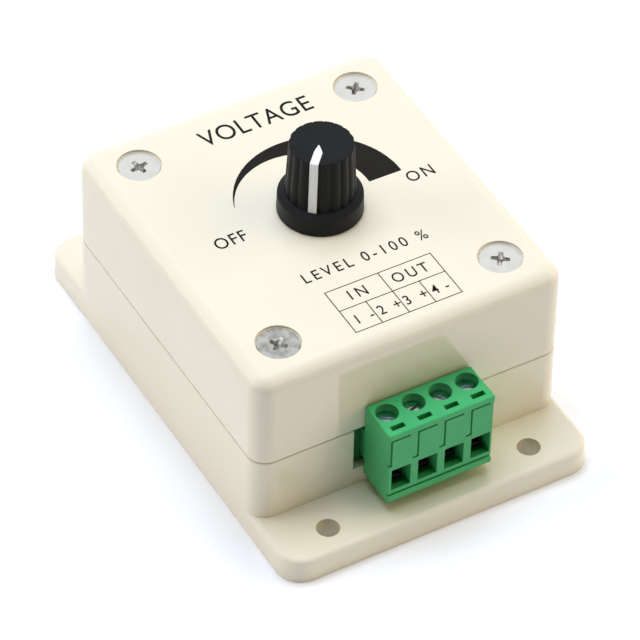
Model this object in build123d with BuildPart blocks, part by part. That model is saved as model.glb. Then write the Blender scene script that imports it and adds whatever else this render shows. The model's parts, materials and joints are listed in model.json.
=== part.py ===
from build123d import *
import math
import os

# Case: two ABS halves, X along the terminal row, terminal side at -Y, Z up
case_width = 58.0
box_length = 63.6
flange_length = 11.45
case_height = 35.4
parting_height = 17.3
flange_height = 4.8
wall_thickness = 2.2
floor_thickness = 2.4
top_thickness = 2.4
draft_slope = 0.008
flange_corner_radius = 4.4
box_corner_radius = 3.5
inner_corner_radius = 1.6
top_edge_radius = 2.8
flange_edge_radius = 1.0
parting_edge_radius = 0.3
parting_gap = 0.3
parting_gap_depth = 0.9
tongue_thickness = 1.0
tongue_height = 1.5
tongue_clearance = 0.1

# Mounting holes in the two end flanges
mount_from_side = 9.9
mount_from_end = 5.05
mount_hole_diameter = 4.0

# Cover screws and the posts they join
cover_screw_from_side = 8.3
cover_screw_from_end = 8.1
cover_screw_diameter = 3.3
cover_screw_length = 26.0
cover_head_rim = 7.6
cover_head_recess = 0.4
cover_head_clearance = 0.15
cover_head_angle = 90.0
cover_hole_clearance = 0.25
pilot_clearance = 0.05
pilot_extra_depth = 1.0
cross_recess_length = 3.3
cross_recess_width = 0.95
cross_recess_depth = 1.5
cross_recess_angle = 28.0
post_diameter = 7.4
post_joint_gap = 0.2
shoulder_diameter = 9.8
rib_thickness = 1.4

# Circuit board
board_thickness = 1.6
board_top = 8.6
board_clearance = 0.3
board_hole_clearance = 0.4
board_corner_radius = 1.5
standoff_diameter = 6.0
standoff_from_wall = 5.3
standoff_from_back = 27.6
board_screw_diameter = 2.4
board_screw_length = 4.5
board_screw_head_diameter = 4.6
board_screw_head_height = 1.6
board_screw_slot = 0.7

# The knob and the terminal sit a little right of the case centre
control_x = 0.7
control_y = 0.55
terminal_x = 0.85

# Knob
knob_gap = 0.2
knob_height = 14.1
skirt_height = 3.85
skirt_rim_height = 3.3
skirt_bottom_radius = 7.25
skirt_draft = 1.5
skirt_edge_radius = 0.3
grip_radius = 5.95
grip_draft = 3.0
grip_edge = 0.15
lobe_count = 18
lobe_radius = 1.3
knob_recess_radius = 6.15
knob_recess_depth = 3.0
shaft_cover_thickness = 2.2
knob_bore_clearance = 0.02
pointer_angle = 227.0
pointer_width = 1.4
pointer_depth = 0.6
pointer_bend_radius = 0.1
pointer_inner_end = 0.7
pointer_tip_length = 1.6
pointer_tip_cuts = (0.3, 0.9)

# Potentiometer behind the cover
shaft_radius = 3.0
shaft_running_fit = 0.05
shaft_flat_depth = 1.4
bushing_radius = 3.5
bushing_rise = 0.4
bushing_hole_clearance = 0.1
pot_radius = 8.2
pot_depth = 7.5
pot_plate_thickness = 1.2
pot_wall = 1.0
rotor_radius = 6.4
rotor_thickness = 1.3
rotor_clearance = 0.4
washer_radius = 5.6
washer_thickness = 0.5
nut_across_flats = 10.0
nut_thickness = 2.0
thread_clearance = 0.05
lug_width = 1.6
lug_thickness = 0.5
lug_length = 4.0
lug_count = 3
lug_pitch = 5.0
lead_radius = 0.65
lead_sweep = 6.5
lead_drop = 7.0

# Terminal: right-angle header on the board and the plug pushed into it
pole_count = 4
pole_pitch = 5.0
plug_side_clearance = 0.1
plug_bottom = 7.0
plug_height = 15.4
plug_depth = 8.0
plug_wall_gap = 0.1
plug_edge = 0.18
nose_width = 18.9
nose_height = 6.4
nose_length = 7.6
nose_clearance = 0.2
header_wall_side = 1.05
header_wall_flat = 0.85
header_depth = 12.0
header_back_wall = 3.2
header_setback = 1.6
header_top_clearance = 0.3
notch_clearance = 0.95
notch_floor_clearance = 0.15
key_width = 1.4
key_height = 0.5
key_clearance = 0.15
pin_size = 1.0
pin_reach = 7.4
pin_hole_clearance = 0.05
pin_bend_setback = 0.5
pin_tail = 2.4
board_pin_hole_diameter = 1.7
lead_hole_clearance = 0.15

# Clamps inside the plug
clamp_axis_depth = 2.85
clamp_hole_diameter = 3.9
clamp_head_diameter = 3.5
clamp_head_height = 1.5
clamp_head_recess = 1.7
clamp_slot_width = 0.6
clamp_slot_depth = 0.8
clamp_screw_diameter = 2.2
clamp_screw_reach = 5.2
clamp_running_fit = 0.06
shelf_thickness = 0.8
cage_width = 3.4
cage_depth = 4.7
cage_height = 6.2
cage_side = 0.4
cage_floor = 0.7
cage_window_height = 3.6
cage_clearance = 0.15
cage_from_entry = 1.25
chamber_floor_thickness = 1.4
chamber_floor_gap = 1.15
contact_width = 2.1
contact_thickness = 0.8
contact_below_window = 0.15
socket_outer = 2.2
socket_inner = 1.2
socket_clearance = 0.1
socket_length = 5.8

# Plug face
entry_width = 3.6
entry_height = 4.6
entry_above_bottom = 2.8
entry_depth = 1.2
probe_slot_length = 2.5
probe_slot_width = 1.0
probe_slot_depth = 3.5
probe_slot_from_front = 1.6
groove_width = 0.35
groove_depth = 0.4
panel_groove_below_top = 1.1
panel_groove_length = 3.6
panel_groove_above_entry = 1.0
panel_step_length = 1.1
base_groove_above_bottom = 1.8
base_groove_width = 0.5
side_recess_depth = 0.3
side_recess_from_edge = 0.5
side_recess_ramp = 1.0

# Parts on the board
transistor_from_side = 10.8
transistor_from_back = 19.6
transistor_width = 10.2
transistor_thickness = 4.5
transistor_body_height = 9.0
transistor_tab_height = 15.5
transistor_tab_thickness = 1.3
transistor_hole_diameter = 3.7
transistor_leg_height = 3.5
transistor_leg_width = 0.9
transistor_leg_count = 3
transistor_leg_pitch = 2.54
capacitor_from_side = 9.8
capacitor_from_back = 19.6
capacitor_radius = 5.0
capacitor_height = 13.0
capacitor_groove_height = 1.5
capacitor_groove_radius = 0.5
chip_from_control = 13.1
chip_length = 9.6
chip_width = 6.4
chip_height = 3.3
chip_standoff = 0.6
chip_leg_count = 4
chip_leg_pitch = 2.54
chip_leg_width = 0.8
chip_leg_thickness = 0.35
chip_row_width = 7.62
diode_from_side = 16.8
diode_behind_header = 11.8
diode_radius = 2.6
diode_length = 9.2
diode_lead_radius = 0.5
diode_lead_span = 13.5
resistor_from_side = 15.8
resistor_behind_header = 7.4
resistor_count = 3
resistor_pitch = 4.2
resistor_radius = 1.1
resistor_length = 6.0
resistor_lead_radius = 0.3
resistor_lead_span = 9.0

# Values that follow from the sizes above
wall_draft = math.degrees(math.atan(draft_slope))
inner_width = case_width - 2 * wall_thickness
inner_length = box_length - 2 * wall_thickness
case_length = box_length + 2 * flange_length
mount_spacing_x = case_width - 2 * mount_from_side
mount_spacing_y = case_length - 2 * mount_from_end
cover_screw_spacing_x = case_width - 2 * cover_screw_from_side
cover_screw_spacing_y = box_length - 2 * cover_screw_from_end
parting_width = case_width - 2 * draft_slope * parting_height
parting_length = box_length - 2 * draft_slope * parting_height
parting_corner_radius = box_corner_radius - draft_slope * parting_height
top_underside = case_height - top_thickness
board_bottom = board_top - board_thickness
standoff_x = inner_width / 2 - standoff_from_wall
standoff_y = inner_length / 2 - standoff_from_back
board_screw_pilot = board_screw_length - board_thickness
head_top = case_height - cover_head_recess
head_radius = cover_head_rim / 2 - cover_head_clearance
cover_shank_radius = cover_screw_diameter / 2
cover_head_height = (head_radius - cover_shank_radius) / math.tan(math.radians(cover_head_angle / 2))
pilot_radius = cover_shank_radius + pilot_clearance
pilot_floor = head_top - cover_screw_length - pilot_extra_depth
knob_bottom = case_height + knob_gap
skirt_rim_radius = skirt_bottom_radius - math.tan(math.radians(skirt_draft)) * skirt_rim_height
shaft_end = knob_bottom + knob_height - shaft_cover_thickness
grip_top_radius = grip_radius - math.tan(math.radians(grip_draft)) * (knob_height - skirt_height)
plate_bottom = top_underside - pot_plate_thickness
pot_bottom = top_underside - pot_depth
rotor_top = plate_bottom - rotor_clearance
bushing_top = case_height + washer_thickness + nut_thickness + bushing_rise
plug_width = pole_count * pole_pitch - 2 * plug_side_clearance
plug_top = plug_bottom + plug_height
plug_back = -(box_length / 2 + plug_wall_gap)
plug_front = plug_back - plug_depth
clamp_y = plug_back - clamp_axis_depth
header_front = plug_back + plug_wall_gap + header_setback
header_inner_width = nose_width + 2 * nose_clearance
header_inner_height = nose_height + 2 * nose_clearance
header_width = header_inner_width + 2 * header_wall_side
header_height = header_inner_height + 2 * header_wall_flat
header_back = header_front + header_depth
header_top = board_top + header_height
pin_z = board_top + header_height / 2
pin_back = header_back + pin_bend_setback
notch_width = header_width + 2 * notch_clearance
notch_floor = board_top - notch_floor_clearance
clamp_head_top = plug_top - clamp_head_recess
clamp_head_bottom = clamp_head_top - clamp_head_height
shelf_bottom = clamp_head_bottom - shelf_thickness
chamber_floor = plug_bottom + chamber_floor_thickness
cage_bottom = chamber_floor + chamber_floor_gap
cage_top_wall = cage_height - cage_floor - cage_window_height
window_top = cage_bottom + cage_floor + cage_window_height
contact_z = window_top - contact_below_window - contact_thickness / 2
contact_start = plug_back + nose_length - socket_clearance - socket_length
chamber_width = cage_width + 2 * cage_clearance
chamber_length = cage_from_entry + cage_depth + cage_clearance
chamber_front = plug_front + entry_depth
cage_front = chamber_front + cage_from_entry
contact_length = contact_start - cage_front
entry_z = plug_bottom + entry_above_bottom + entry_height / 2
transistor_x = transistor_from_side - inner_width / 2
transistor_y = inner_length / 2 - transistor_from_back
capacitor_x = inner_width / 2 - capacitor_from_side
capacitor_y = inner_length / 2 - capacitor_from_back
chip_y = control_y + chip_from_control
diode_x = diode_from_side - inner_width / 2
diode_y = header_back + diode_behind_header
resistor_x = inner_width / 2 - resistor_from_side
resistor_y = header_back + resistor_behind_header
control_plane = Plane((control_x, control_y, 0))
knob_place = Location((control_x, control_y, knob_bottom))
plug_face = Plane((terminal_x, plug_front, 0), x_dir=(1, 0, 0), z_dir=(0, -1, 0))
nose_end = Plane((terminal_x, plug_back + nose_length, 0), x_dir=(-1, 0, 0), z_dir=(0, 1, 0))
pole_offsets = [pole_pitch * (n - (pole_count - 1) / 2) for n in range(pole_count)]

os.makedirs("parts", exist_ok=True)

# Lower half: floor with end flanges, walls with a rebate, stepped posts and board standoffs
with BuildPart() as base:
    with BuildSketch():
        RectangleRounded(case_width, case_length, flange_corner_radius)
    extrude(amount=flange_height, taper=wall_draft)
    fillet(base.faces().sort_by(Axis.Z)[-1].edges(), flange_edge_radius)
    with BuildSketch():
        RectangleRounded(case_width, box_length, box_corner_radius)
    extrude(amount=parting_height, taper=wall_draft)
    fillet(base.faces().sort_by(Axis.Z)[-1].edges(), parting_edge_radius)
    with BuildSketch(Plane.XY.offset(floor_thickness)):
        RectangleRounded(inner_width, inner_length, inner_corner_radius)
    extrude(amount=parting_height - floor_thickness, mode=Mode.SUBTRACT)
    with BuildSketch(Plane.XY.offset(parting_height)):
        RectangleRounded(
            inner_width + 2 * tongue_thickness,
            inner_length + 2 * tongue_thickness,
            inner_corner_radius + tongue_thickness,
        )
    extrude(amount=-(tongue_height + tongue_clearance), mode=Mode.SUBTRACT)
    with BuildSketch(Plane.XY.offset(floor_thickness)):
        with GridLocations(cover_screw_spacing_x, cover_screw_spacing_y, 2, 2):
            Circle(shoulder_diameter / 2)
        with GridLocations((inner_width + cover_screw_spacing_x) / 2, cover_screw_spacing_y, 2, 2):
            Rectangle((inner_width - cover_screw_spacing_x) / 2, rib_thickness)
        with Locations((-standoff_x, standoff_y), (standoff_x, standoff_y)):
            Circle(standoff_diameter / 2)
    extrude(amount=board_bottom - floor_thickness)
    with BuildSketch(Plane.XY.offset(board_bottom)):
        with GridLocations(cover_screw_spacing_x, cover_screw_spacing_y, 2, 2):
            Circle(post_diameter / 2)
    extrude(amount=parting_height - board_bottom)
    with BuildSketch(Plane.XY.offset(parting_height)):
        with GridLocations(cover_screw_spacing_x, cover_screw_spacing_y, 2, 2):
            Circle(pilot_radius)
    extrude(amount=pilot_floor - parting_height, mode=Mode.SUBTRACT)
    with BuildSketch(Plane.XY.offset(board_bottom)):
        with Locations((-standoff_x, standoff_y), (standoff_x, standoff_y)):
            Circle(board_screw_diameter / 2 + pilot_clearance)
    extrude(amount=-board_screw_pilot, mode=Mode.SUBTRACT)
    with BuildSketch():
        with GridLocations(mount_spacing_x, mount_spacing_y, 2, 2):
            Circle(mount_hole_diameter / 2)
    extrude(amount=flange_height, mode=Mode.SUBTRACT)
    with BuildSketch(Plane.XY.offset(notch_floor)):
        with Locations((terminal_x, -box_length / 2)):
            Rectangle(notch_width, 2 * wall_thickness)
    extrude(amount=parting_height - notch_floor, mode=Mode.SUBTRACT)
base.part.label = "base"
export_step(base.part, "parts/base.step")

# Upper half: crowned shell with a tongue and a shadow gap round its lower edge, and four screw posts
with BuildPart() as cover:
    with BuildSketch(Plane.XY.offset(parting_height)):
        RectangleRounded(parting_width, parting_length, parting_corner_radius)
    extrude(amount=case_height - parting_height, taper=wall_draft)
    fillet(cover.faces().sort_by(Axis.Z)[-1].edges(), top_edge_radius)
    with BuildSketch(Plane.XY.offset(parting_height)):
        RectangleRounded(inner_width, inner_length, inner_corner_radius)
    extrude(amount=top_underside - parting_height, mode=Mode.SUBTRACT)
    with BuildSketch(Plane.XY.offset(parting_height)):
        RectangleRounded(
            inner_width + 2 * (tongue_thickness - tongue_clearance),
            inner_length + 2 * (tongue_thickness - tongue_clearance),
            inner_corner_radius + tongue_thickness - tongue_clearance,
        )
        RectangleRounded(inner_width, inner_length, inner_corner_radius, mode=Mode.SUBTRACT)
    extrude(amount=-tongue_height)
    with BuildSketch(Plane.XY.offset(notch_floor)):
        with Locations((terminal_x, -box_length / 2)):
            Rectangle(notch_width, 2 * wall_thickness)
    extrude(amount=header_top + header_top_clearance - notch_floor, mode=Mode.SUBTRACT)
    with BuildSketch(Plane.XY.offset(parting_height)):
        RectangleRounded(parting_width, parting_length, parting_corner_radius)
        RectangleRounded(
            parting_width - 2 * parting_gap_depth,
            parting_length - 2 * parting_gap_depth,
            parting_corner_radius - parting_gap_depth,
            mode=Mode.SUBTRACT,
        )
    extrude(amount=parting_gap, mode=Mode.SUBTRACT)
    with BuildSketch(Plane.XY.offset(top_underside)):
        with GridLocations(cover_screw_spacing_x, cover_screw_spacing_y, 2, 2):
            Circle(post_diameter / 2)
    extrude(amount=parting_height + post_joint_gap - top_underside)
    with BuildSketch(Plane.XY.offset(case_height)):
        with GridLocations(cover_screw_spacing_x, cover_screw_spacing_y, 2, 2):
            Circle(cover_head_rim / 2)
    extrude(amount=-cover_head_recess, mode=Mode.SUBTRACT)
    with Locations(Plane.XY.offset(head_top)):
        with GridLocations(cover_screw_spacing_x, cover_screw_spacing_y, 2, 2):
            CounterSinkHole(
                cover_shank_radius + cover_hole_clearance,
                cover_head_rim / 2,
                depth=head_top - parting_height,
                counter_sink_angle=cover_head_angle,
            )
    with BuildSketch(control_plane.offset(top_underside)):
        Circle(bushing_radius + bushing_hole_clearance)
    extrude(amount=top_thickness, mode=Mode.SUBTRACT)
cover.part.label = "cover"
export_step(cover.part, "parts/cover.step")

# Countersunk cross-head screws through the cover into the base posts
with BuildPart(Plane.XY.offset(head_top)) as cover_screws:
    with GridLocations(cover_screw_spacing_x, cover_screw_spacing_y, 2, 2):
        Cylinder(
            cover_shank_radius,
            cover_screw_length,
            align=(Align.CENTER, Align.CENTER, Align.MAX),
        )
        Cone(
            cover_shank_radius,
            head_radius,
            cover_head_height,
            align=(Align.CENTER, Align.CENTER, Align.MAX),
        )
        for turn in (cross_recess_angle, cross_recess_angle + 90):
            Box(
                cross_recess_length,
                cross_recess_width,
                cross_recess_depth,
                rotation=(0, 0, turn),
                align=(Align.CENTER, Align.CENTER, Align.MAX),
                mode=Mode.SUBTRACT,
            )
cover_screws.part.label = "cover_screws"
export_step(cover_screws.part, "parts/cover_screws.step")


def pointer_bar(origin):
    """Bar along the top and down the side of a knob with its lower centre at origin, with a slanted inner tip."""
    along = Plane(
        origin,
        x_dir=(math.cos(math.radians(pointer_angle)), math.sin(math.radians(pointer_angle)), 0),
        z_dir=(math.sin(math.radians(pointer_angle)), -math.cos(math.radians(pointer_angle)), 0),
    )
    outward = Axis(along.origin, along.x_dir)
    with BuildPart() as bar:
        with BuildSketch(along):
            with BuildLine():
                Polyline(
                    (pointer_inner_end, knob_height),
                    (grip_top_radius, knob_height),
                    (grip_radius, skirt_height),
                    (grip_radius - pointer_depth, skirt_height),
                    (grip_top_radius - pointer_depth, knob_height - pointer_depth),
                    (pointer_inner_end, knob_height - pointer_depth),
                    close=True,
                )
            make_face()
        extrude(amount=pointer_width / 2, both=True)
        fillet(bar.faces().sort_by(Axis.Z)[-1].edges().sort_by(outward)[-1], pointer_bend_radius)
        for side, cut in zip((0, -1), pointer_tip_cuts):
            tip = bar.faces().sort_by(outward)[0]
            chamfer(tip.edges().filter_by(Axis.Z).sort_by(Axis.X)[side], cut, pointer_tip_length, reference=tip)
    return bar.part


knob_pointer = pointer_bar((control_x, control_y, knob_bottom))
knob_pointer.label = "knob_pointer"
export_step(knob_pointer, "parts/knob_pointer.step")

# Shaft section with the flat that drives the knob
with BuildSketch(control_plane.offset(shaft_end)) as shaft_section:
    Circle(shaft_radius)
    with Locations((0, shaft_radius)):
        Rectangle(2 * shaft_radius, 2 * shaft_flat_depth, mode=Mode.SUBTRACT)

# Knob: drafted grip of round lobes over a skirt with a sloping top, drawn upright over the origin
with BuildPart() as knob_body:
    with BuildSketch(Plane.XZ):
        with BuildLine():
            Polyline(
                (0, skirt_height),
                (grip_radius, skirt_height),
                (grip_top_radius, knob_height),
                (0, knob_height),
                close=True,
            )
        make_face()
    revolve(axis=Axis.Z)
    chamfer(knob_body.edges().filter_by(GeomType.CIRCLE).sort_by(Axis.Z)[-1], grip_edge)
    for height, radius in ((skirt_height, grip_radius), (knob_height, grip_top_radius)):
        with BuildSketch(Plane.XY.offset(height)):
            Circle(radius - lobe_radius)
            with PolarLocations(radius - lobe_radius, lobe_count, pointer_angle):
                Circle(lobe_radius)
    loft(mode=Mode.INTERSECT)
    with BuildSketch(Plane.XZ):
        with BuildLine():
            Polyline(
                (0, 0),
                (skirt_bottom_radius, 0),
                (skirt_rim_radius, skirt_rim_height),
                (grip_radius, skirt_height),
                (0, skirt_height),
                close=True,
            )
        make_face()
    revolve(axis=Axis.Z)
    fillet(knob_body.edges().filter_by(GeomType.CIRCLE).group_by(Axis.Z)[1], skirt_edge_radius)
    add(pointer_bar((0, 0, 0)), mode=Mode.SUBTRACT)

# The knob in its place, with a hollow over the nut and a bore for the shaft
with BuildPart() as knob:
    add(knob_body.part.moved(knob_place))
    with BuildSketch(control_plane.offset(knob_bottom)):
        Circle(knob_recess_radius)
    extrude(amount=knob_recess_depth, mode=Mode.SUBTRACT)
    with BuildSketch(control_plane.offset(shaft_end)):
        Circle(shaft_radius + knob_bore_clearance)
        with Locations((0, shaft_radius)):
            Rectangle(
                2 * (shaft_radius + knob_bore_clearance),
                2 * (shaft_flat_depth - knob_bore_clearance),
                mode=Mode.SUBTRACT,
            )
    extrude(amount=knob_bottom - shaft_end, mode=Mode.SUBTRACT)
knob.part.label = "knob"
export_step(knob.part, "parts/knob.step")

# Shaft with the rotor that carries the wiper
with BuildPart() as pot_shaft:
    with BuildSketch(control_plane.offset(rotor_top - rotor_thickness)):
        Circle(rotor_radius)
    extrude(amount=rotor_thickness)
    with BuildSketch(control_plane.offset(rotor_top)):
        Circle(shaft_radius)
    extrude(amount=bushing_top - rotor_top)
    extrude(shaft_section.sketch, amount=bushing_top - shaft_end)
pot_shaft.part.label = "pot_shaft"
export_step(pot_shaft.part, "parts/pot_shaft.step")

# Front plate and threaded neck of the potentiometer
with BuildPart() as pot_bushing:
    with BuildSketch(control_plane.offset(plate_bottom)):
        Circle(pot_radius)
    extrude(amount=pot_plate_thickness)
    with BuildSketch(control_plane.offset(plate_bottom)):
        Circle(bushing_radius)
    extrude(amount=bushing_top - plate_bottom)
    with BuildSketch(control_plane.offset(plate_bottom)):
        Circle(shaft_radius + shaft_running_fit)
    extrude(amount=bushing_top - plate_bottom, mode=Mode.SUBTRACT)
pot_bushing.part.label = "pot_bushing"
export_step(pot_bushing.part, "parts/pot_bushing.step")

# Cup that holds the resistance track
with BuildPart() as pot_body:
    with BuildSketch(control_plane.offset(pot_bottom)):
        Circle(pot_radius)
        with Locations((0, pot_radius)):
            Rectangle((lug_count - 1) * lug_pitch + 2 * lug_width, lug_length)
    extrude(amount=plate_bottom - pot_bottom)
    with BuildSketch(control_plane.offset(pot_bottom + pot_wall)):
        Circle(pot_radius - pot_wall)
    extrude(amount=plate_bottom - pot_bottom - pot_wall, mode=Mode.SUBTRACT)
pot_body.part.label = "pot_body"
export_step(pot_body.part, "parts/pot_body.step")

lug_start = control_y + pot_radius + lug_length / 2
lug_z = pot_bottom + pot_wall
with BuildPart() as pot_lugs:
    with BuildSketch(Plane((control_x, lug_start, lug_z))):
        with GridLocations(lug_pitch, 0, lug_count, 1):
            Rectangle(lug_width, lug_length, align=(Align.CENTER, Align.MIN))
    extrude(amount=lug_thickness)
pot_lugs.part.label = "pot_lugs"
export_step(pot_lugs.part, "parts/pot_lugs.step")

# Leads from the lugs down to the board
with BuildPart() as pot_leads:
    for number in range(lug_count):
        lead_x = control_x + lug_pitch * (number - (lug_count - 1) / 2)
        lead_y = lug_start + lug_length - lead_radius
        with BuildLine() as lead_path:
            Bezier(
                (lead_x, lead_y, lug_z),
                (lead_x, lead_y, lug_z - lead_drop),
                (lead_x, lead_y + lead_sweep, board_top + lead_drop),
                (lead_x, lead_y + lead_sweep, board_top),
            )
        with BuildSketch(Plane((lead_x, lead_y, lug_z), z_dir=(0, 0, -1))):
            Circle(lead_radius)
        sweep(path=lead_path.line)
pot_leads.part.label = "pot_leads"
export_step(pot_leads.part, "parts/pot_leads.step")

with BuildPart() as pot_washer:
    with BuildSketch(control_plane.offset(case_height)):
        Circle(washer_radius)
        Circle(bushing_radius + bushing_hole_clearance, mode=Mode.SUBTRACT)
    extrude(amount=washer_thickness)
pot_washer.part.label = "pot_washer"
export_step(pot_washer.part, "parts/pot_washer.step")

with BuildPart() as pot_nut:
    with BuildSketch(control_plane.offset(case_height + washer_thickness)):
        RegularPolygon(nut_across_flats / 2, 6, major_radius=False)
        Circle(bushing_radius + thread_clearance, mode=Mode.SUBTRACT)
    extrude(amount=nut_thickness)
pot_nut.part.label = "pot_nut"
export_step(pot_nut.part, "parts/pot_nut.step")

# Board resting on the post shoulders, with holes for the posts, screws and pins
with BuildPart() as circuit_board:
    with BuildSketch(Plane.XY.offset(board_bottom)):
        RectangleRounded(
            inner_width - 2 * board_clearance,
            inner_length - 2 * board_clearance,
            board_corner_radius,
        )
        with GridLocations(cover_screw_spacing_x, cover_screw_spacing_y, 2, 2):
            Circle(post_diameter / 2 + board_hole_clearance, mode=Mode.SUBTRACT)
        with Locations((-standoff_x, standoff_y), (standoff_x, standoff_y)):
            Circle(board_screw_diameter / 2 + pilot_clearance, mode=Mode.SUBTRACT)
        with Locations((terminal_x, pin_back + pin_size / 2)):
            with GridLocations(pole_pitch, 0, pole_count, 1):
                Circle(board_pin_hole_diameter / 2, mode=Mode.SUBTRACT)
        with Locations((transistor_x, transistor_y)):
            with GridLocations(transistor_leg_pitch, 0, transistor_leg_count, 1):
                Circle(transistor_leg_width / 2 + lead_hole_clearance, mode=Mode.SUBTRACT)
        with Locations((diode_x, diode_y)):
            with GridLocations(diode_lead_span, 0, 2, 1):
                Circle(diode_lead_radius + lead_hole_clearance, mode=Mode.SUBTRACT)
        with Locations((resistor_x, resistor_y)):
            with GridLocations(resistor_lead_span, resistor_pitch, 2, resistor_count):
                Circle(resistor_lead_radius + lead_hole_clearance, mode=Mode.SUBTRACT)
    extrude(amount=board_thickness)
circuit_board.part.label = "circuit_board"
export_step(circuit_board.part, "parts/circuit_board.step")

with BuildPart(Plane.XY.offset(board_top)) as board_screws:
    with Locations((-standoff_x, standoff_y), (standoff_x, standoff_y)):
        Cylinder(
            board_screw_head_diameter / 2,
            board_screw_head_height,
            align=(Align.CENTER, Align.CENTER, Align.MIN),
        )
        Cylinder(
            board_screw_diameter / 2,
            board_screw_length,
            align=(Align.CENTER, Align.CENTER, Align.MAX),
        )
    with Locations(
        (-standoff_x, standoff_y, board_screw_head_height),
        (standoff_x, standoff_y, board_screw_head_height),
    ):
        Box(
            board_screw_head_diameter,
            board_screw_slot,
            2 * board_screw_slot,
            mode=Mode.SUBTRACT,
        )
board_screws.part.label = "board_screws"
export_step(board_screws.part, "parts/board_screws.step")

# Shrouded header, open to the front, with a key slot over each pole
with BuildPart() as header_housing:
    with BuildSketch(Plane((terminal_x, header_front, board_top), x_dir=(1, 0, 0), z_dir=(0, -1, 0))):
        with Locations((0, header_height / 2)):
            Rectangle(header_width, header_height)
    extrude(amount=-header_depth)
    with BuildSketch(Plane((terminal_x, header_front, board_top), x_dir=(1, 0, 0), z_dir=(0, -1, 0))):
        with Locations((0, header_height / 2)):
            Rectangle(header_inner_width, header_inner_height)
        with Locations((0, header_height)):
            with GridLocations(pole_pitch, 0, pole_count, 1):
                Rectangle(key_width + 2 * key_clearance, 2 * (header_wall_flat + key_height))
    extrude(amount=header_back_wall - header_depth, mode=Mode.SUBTRACT)
    with BuildSketch(Plane((terminal_x, header_front, pin_z), x_dir=(1, 0, 0), z_dir=(0, -1, 0))):
        with GridLocations(pole_pitch, 0, pole_count, 1):
            Rectangle(pin_size + 2 * pin_hole_clearance, pin_size + 2 * pin_hole_clearance)
    extrude(amount=-header_depth, mode=Mode.SUBTRACT)
header_housing.part.label = "header_housing"
export_step(header_housing.part, "parts/header_housing.step")

# Square pins, bent down behind the header and through the board
with BuildPart() as header_pins:
    for pole in pole_offsets:
        with BuildSketch(Plane.YZ.offset(terminal_x + pole)):
            with BuildLine():
                Polyline(
                    (header_back - header_back_wall - pin_reach, pin_z - pin_size / 2),
                    (header_back - header_back_wall - pin_reach, pin_z + pin_size / 2),
                    (pin_back + pin_size, pin_z + pin_size / 2),
                    (pin_back + pin_size, board_bottom - pin_tail),
                    (pin_back, board_bottom - pin_tail),
                    (pin_back, pin_z - pin_size / 2),
                    close=True,
                )
            make_face()
        extrude(amount=pin_size / 2, both=True)
header_pins.part.label = "header_pins"
export_step(header_pins.part, "parts/header_pins.step")

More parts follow.
